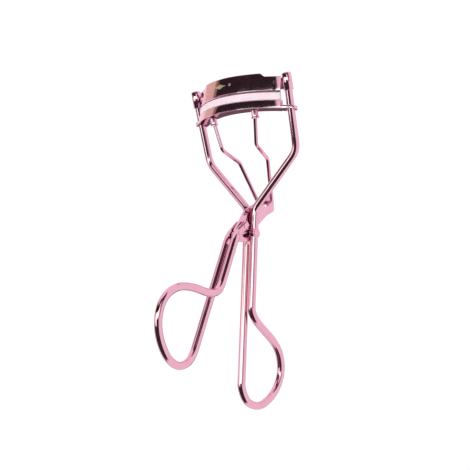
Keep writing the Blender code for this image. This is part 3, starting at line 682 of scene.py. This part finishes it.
def lower_jaw_channel(mat):
    """Trough for the pad with a rolled foot, and an ear round each guide rod."""
    inside = JAW_R - CHANNEL_W
    foot = CHANNEL_FOOT

    def section(_share):
        corners = [(JAW_R, foot), (JAW_R, CHANNEL_TOP), (JAW_R - CHANNEL_WALL, CHANNEL_TOP),
                   (JAW_R - CHANNEL_WALL, foot + CHANNEL_WALL), (inside + CHANNEL_WALL, foot + CHANNEL_WALL),
                   (inside + CHANNEL_WALL, CHANNEL_TOP), (inside, CHANNEL_TOP), (inside, foot)]
        return rounded(corners, [r * MM for r in CHANNEL_EDGES])

    channel = new_object("lower_jaw_channel_fine", jaw_sweep(section, CHANNEL_HALF))
    ear_z = jaw_point(jaw_turn(CHANNEL_HALF), JAW_R, foot).z
    centre_x = rod_x(ear_z)
    reach = rod_back(foot + EAR_T / 2)
    tip = [(centre_x + EAR_R * math.cos(a), reach + EAR_R * math.sin(a))
           for a in [math.radians(-80 + 5 * k) for k in range(41)]]
    root = [(CHANNEL_HALF - EAR_ROOT_IN, reach + EAR_ROOT_SHIFT),
            (CHANNEL_HALF - EAR_ROOT_IN + EAR_ROOT_SHIFT, reach - EAR_ROOT_LONG)]
    hole_r = WIRE_R + GUIDE_CLEAR
    slot = []
    for centre, first in ((centre_x + GUIDE_PLAY, -90), (centre_x - JAW_TRAVEL * ROD_LEAN, 90)):
        for k in range(25):
            a = math.radians(first + 7.5 * k)
            slot.append((centre + hole_r * math.cos(a), ROD_BACK + hole_r * math.sin(a)))
    for side in (1, -1):
        ear = slab([(side * a, b) for a, b in tip + root], foot + EAR_RAISE, foot + EAR_T, in_jaw_plane)
        carve(channel, ear, "UNION")
        bore = slab([(side * a, b) for a, b in slot], ear_z - CUT_REACH, ear_z + CUT_REACH,
                    lambda a, b, h: Vector((a, b, h)))
        carve(channel, bore)
    soften(channel, CHANNEL_BEVEL, 60.0)
    place(channel, mat, "lower_jaw_channel")


def silicone_pad(mat):
    """Moulded pad: crowned top, full sides, ends that round off, stem in the trough."""
    foot = CHANNEL_FOOT + CHANNEL_WALL + GAP
    rim = CHANNEL_TOP + PAD_RIM
    groove_in = JAW_R - CHANNEL_W + CHANNEL_WALL + GAP
    groove_out = JAW_R - CHANNEL_WALL - GAP
    middle = JAW_R - CHANNEL_W / 2

    def section(share):
        x = JAW_R * math.sin(jaw_turn(PAD_HALF) * abs(share))
        stem = foot if x < PAD_STEM_HALF else CHANNEL_TOP - PAD_LIP
        ends = min(1.0, (1.0 - abs(share)) / PAD_END_SHARE)
        ease = math.sqrt(max(0.0, 1.0 - (1.0 - ends) ** 2))
        inset = PAD_INSET + PAD_END_INSET * (1.0 - ease)
        top = PAD_TOP - PAD_END_DROP * (1.0 - ease)
        outer, inner = JAW_R - inset, JAW_R - CHANNEL_W + inset
        corners = [(groove_out, stem), (groove_out, rim), (outer, rim), (outer, top - PAD_CROWN),
                   (middle, top), (inner, top - PAD_CROWN), (inner, rim), (groove_in, rim), (groove_in, stem)]
        return rounded(corners, [r * MM for r in PAD_EDGES])

    pad = new_object("silicone_pad_fine", jaw_sweep(section, PAD_HALF), 50.0)
    place(pad, mat, "silicone_pad")


def push_rod_socket(side, name, mat):
    """A short flared sleeve under the channel; its head follows the slope of the floor."""
    radius = JAW_R - CHANNEL_W / 2
    spot = jaw_point(math.asin(PUSH_TOP_X / radius), radius, CHANNEL_FOOT)
    top = spot.z - GAP
    low = PUSH_PIVOT.z - SOCKET_MOUTH
    roof = PUSH_PIVOT.z + TIP_SHARE * PUSH_R + GAP
    profile = [(SOCKET_BORE, roof)] + [(r * MM, low + h * MM) for r, h in SOCKET_RIM]
    profile.append((SOCKET_R, top + MM))
    at = Matrix.Translation((side * PUSH_TOP_X, spot.y, 0))
    socket = new_object("push_rod_socket_%s_fine" % name, turned(profile, at, 48))

    def sloped(a, b, h):
        c, n = math.cos(JAW_TILT), math.sin(JAW_TILT)
        return Vector((side * PUSH_TOP_X + a, spot.y + c * b + n * h, top - n * b + c * h))

    w = CUT_REACH
    carve(socket, slab([(-w, -w), (w, -w), (w, w), (-w, w)], 0.0, w, sloped))
    place(socket, mat, "push_rod_socket_" + name)


def lever_plate(mat):
    corners = [(y * MM, z * MM) for y, z in LEVER_PLATE]
    outline = rounded(corners, [LEVER_PLATE_CORNER] * len(corners), math.radians(8))
    plate = new_object("lever_plate_fine", slab(outline, -LEVER_PLATE_T / 2, LEVER_PLATE_T / 2))
    carve(plate, drill(HINGE_HOLE_R, along_x(0, 0, 0)))
    for y, z in LEVER_RIVETS.values():
        carve(plate, drill(RIVET_HOLE_R, along_x(0, y * MM, z * MM)))
    slot = []
    for k in range(SLOT_SIDES):
        a = 2 * math.pi * k / SLOT_SIDES
        slot.append((HOOK_Y + SLOT_OFFSET[0] + SLOT_R[0] * math.cos(a),
                     HOOK_Z + SLOT_OFFSET[1] + SLOT_R[1] * math.sin(a)))
    carve(plate, slab(slot, -CUT_REACH, CUT_REACH))
    soften(plate, LEVER_PLATE_BEVEL, 50.0, 3)
    place(plate, mat, "lever_plate")


# name, middle, half length and half height of each inlay, in mm
INLAYS = [("left", -7.4, 0.6, 0.6), ("middle", -3.2, 2.9, 0.85), ("right", 1.0, 0.6, 0.6)]
INLAY_HEIGHT = 0.56             # of their middles, as a share of the plate's
INLAY_SIDES = 24
INLAY_POWER = 0.8               # of the curve round them: 1 is a straight-sided lozenge
INLAY_PROUD = 0.02 * MM         # its rim stands this far off the plate
INLAY_CROWN = 0.03 * MM         # rise of its sides, had they gone on to the middle
INLAY_FACET = 0.55              # size of its flat top, as a share of its outline
INLAY_DEPTH = 0.1 * MM


def ornament(mat):
    """A plain inlay on the upper jaw: a slender lozenge between two small ones."""
    height = PLATE_HEIGHT * INLAY_HEIGHT
    for name, middle, long, tall in INLAYS:
        bm = bmesh.new()
        rings = []
        for share in (1.0, INLAY_FACET):
            ring = []
            for k in range(INLAY_SIDES):
                a = 2 * math.pi * k / INLAY_SIDES
                r = (abs(math.cos(a)) ** INLAY_POWER + abs(math.sin(a)) ** INLAY_POWER) ** (-1 / INLAY_POWER)
                x = (middle + long * share * r * math.cos(a)) * MM
                h = height + tall * share * r * math.sin(a) * MM
                radius = JAW_R + INLAY_PROUD + INLAY_CROWN * (1 - share)
                ring.append(bm.verts.new(jaw_point(jaw_turn(x), radius, h)))
            rings.append(ring)
        back = [bm.verts.new(v.co + Vector((0, INLAY_DEPTH, 0))) for v in rings[0]]
        skin(bm, [back] + rings)
        inlay = new_object("inlay_" + name, bm, 60.0)
        inlay.data.materials.append(mat)
        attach(inlay, "frame")


WIRE = rose_metal("rose_wire_polished", (0.77, 0.40, 0.52), (0.73, 0.37, 0.49), 0.05, 0.10)
SHEET = rose_metal("rose_sheet_polished", (0.77, 0.41, 0.54), (0.73, 0.38, 0.51), 0.06, 0.11)
RIVET = rose_metal("rose_rivet_polished", (0.78, 0.42, 0.55), (0.74, 0.38, 0.51), 0.10, 0.18)

frame_wire(WIRE)
lever_wire(WIRE)
push_rod(WIRE)
upper_jaw_plate(SHEET)
lower_jaw_channel(SHEET)
silicone_pad(silicone())
lever_plate(SHEET)
for SIDE, NAME in ((1, "right"), (-1, "left")):
    upper_jaw_clip(SIDE, NAME, SHEET)
    push_rod_socket(SIDE, NAME, SHEET)
rivet("hinge_rivet_fine", "hinge_rivet", RIVET, along_x(0, 0, 0), OUTER_FLAT + HEAD_SEAT, HINGE_R,
      HINGE_HEAD_R, HINGE_HEAD_T)
for NAME, (RIVET_Y, RIVET_Z) in LEVER_RIVETS.items():
    rivet("lever_rivet_%s_fine" % NAME, "lever_rivet_" + NAME, RIVET, along_x(0, RIVET_Y * MM, RIVET_Z * MM),
          OUTER_FLAT + HEAD_SEAT, RIVET_R, RIVET_HEAD_R, RIVET_HEAD_T)
ornament(pale_gold())


# ---- studio -------------------------------------------------------------------------------
def emitter(name, colour, strength):
    mat = bpy.data.materials.new(name)
    mat.use_nodes = True
    nodes = mat.node_tree.nodes
    nodes.remove(nodes["Principled BSDF"])
    glow = nodes.new("ShaderNodeEmission")
    glow.inputs["Color"].default_value = (*colour, 1.0)
    glow.inputs["Strength"].default_value = strength
    mat.node_tree.links.new(glow.outputs["Emission"], nodes["Material Output"].inputs["Surface"])
    return mat


CARD_COLUMNS = 16
CARD_ROWS = 8


def card(name, azimuths, elevations, colour, strength, distance):
    """A curved card round the object, seen only in its reflections: azimuth 0 is in front (-Y)."""
    bm = bmesh.new()
    rings = []
    for i in range(CARD_COLUMNS + 1):
        az = math.radians(azimuths[0] + (azimuths[1] - azimuths[0]) * i / CARD_COLUMNS)
        column = []
        for k in range(CARD_ROWS + 1):
            el = math.radians(elevations[0] + (elevations[1] - elevations[0]) * k / CARD_ROWS)
            spot = Vector((math.sin(az) * math.cos(el), -math.cos(az) * math.cos(el), math.sin(el)))
            column.append(bm.verts.new(spot * distance))
        rings.append(column)
    for a, b in zip(rings, rings[1:]):
        for k in range(CARD_ROWS):
            bm.faces.new((a[k], b[k], b[k + 1], a[k + 1]))
    obj = new_object(name, bm, 180.0)
    obj.data.materials.append(emitter(name, colour, strength))
    obj.visible_camera = False
    obj.visible_shadow = False
    obj.visible_diffuse = False


CREAM = (0.66, 1.0, 0.76)         # comes back cream from the rose plating
DUSK = (1.0, 0.80, 0.90)
# name, azimuths, elevations, colour, strength, distance: nearer cards cover those behind them
CARDS = [
    ("dark_low", (-64, 60), (-62, 8), DUSK, 0.05, 1.30),
    ("dim_low_left", (-168, -104), (-42, -6), (1.0, 0.74, 0.80), 0.16, 1.30),
    ("dark_mid", (-70, 34), (4, 44), DUSK, 0.03, 1.28),
    ("dark_high", (-12, 92), (42, 62), DUSK, 0.05, 1.30),
    ("dark_high_right", (60, 92), (22, 60), DUSK, 0.07, 1.32),
    ("grey_right", (56, 88), (2, 21), (1.0, 0.92, 0.95), 0.42, 1.24),
    ("strip_main", (-26, 54), (13, 27), CREAM, 2.9, 1.20),
    ("strip_left", (-62, -26), (5, 21), (0.95, 1.0, 0.88), 1.15, 1.22),
    ("strip_middle", (-26, 2), (1, 14), CREAM, 2.4, 1.22),
    ("warm_edge", (-74, -68), (8, 36), (1.0, 0.78, 0.62), 0.35, 1.17),
    ("warm_left", (-97, -73), (8, 36), (1.0, 0.92, 0.66), 0.86, 1.18),
]


WORLD_STRENGTH = 1.1
FLOOR_R = 4.0
FLOOR_DROP = 30 * MM            # the floor lies this far below the model


def studio():
    world = bpy.data.worlds.new("studio")
    bpy.context.scene.world = world
    world.use_nodes = True
    world.node_tree.nodes["Background"].inputs["Color"].default_value = (1.0, 1.0, 1.0, 1.0)
    world.node_tree.nodes["Background"].inputs["Strength"].default_value = WORLD_STRENGTH
    for row in CARDS:
        card(*row)

    floor_bm = bmesh.new()
    bmesh.ops.create_circle(floor_bm, cap_ends=True, segments=96, radius=FLOOR_R)
    floor = new_object("floor", floor_bm)
    floor.location = (0, 0, CAD_BOX[0][2] - FLOOR_DROP)
    n = Nodes("floor_white")
    n.set(Roughness=0.9)
    n.link(n.ramp(n.noise(3.0), 0.93, 0.95), n.bsdf.inputs["Base Color"])
    floor.data.materials.append(n.mat)
    floor.visible_glossy = False


CAMERA_AZIMUTH = math.radians(42.12)
CAMERA_ELEVATION = math.radians(4.12)
CAMERA_ROLL = math.radians(-9.72)
CAMERA_DISTANCE = 389.6 * MM
CAMERA_AIM = Vector((-4.26, -2.46, 0.30)) * MM      # from the hinge
CAMERA_LENS = 96.476


def camera():
    azimuth, elevation, roll = CAMERA_AZIMUTH, CAMERA_ELEVATION, CAMERA_ROLL
    back = Vector((math.sin(azimuth) * math.cos(elevation), -math.cos(azimuth) * math.cos(elevation),
                   math.sin(elevation)))
    level = Vector((math.cos(azimuth), math.sin(azimuth), 0.0))
    upright = back.cross(level)
    right = level * math.cos(roll) + upright * math.sin(roll)
    up = back.cross(right)
    data = bpy.data.cameras.new("camera")
    data.sensor_width = 36.0
    data.lens = CAMERA_LENS
    data.clip_start = 0.01
    obj = bpy.data.objects.new("camera", data)
    turn = Matrix((right, up, back)).transposed().to_4x4()
    obj.matrix_world = Matrix.Translation(HINGE + CAMERA_AIM + back * CAMERA_DISTANCE) @ turn
    bpy.context.scene.collection.objects.link(obj)
    bpy.context.scene.camera = obj


studio()
camera()
bpy.context.scene.view_settings.view_transform = "Standard"
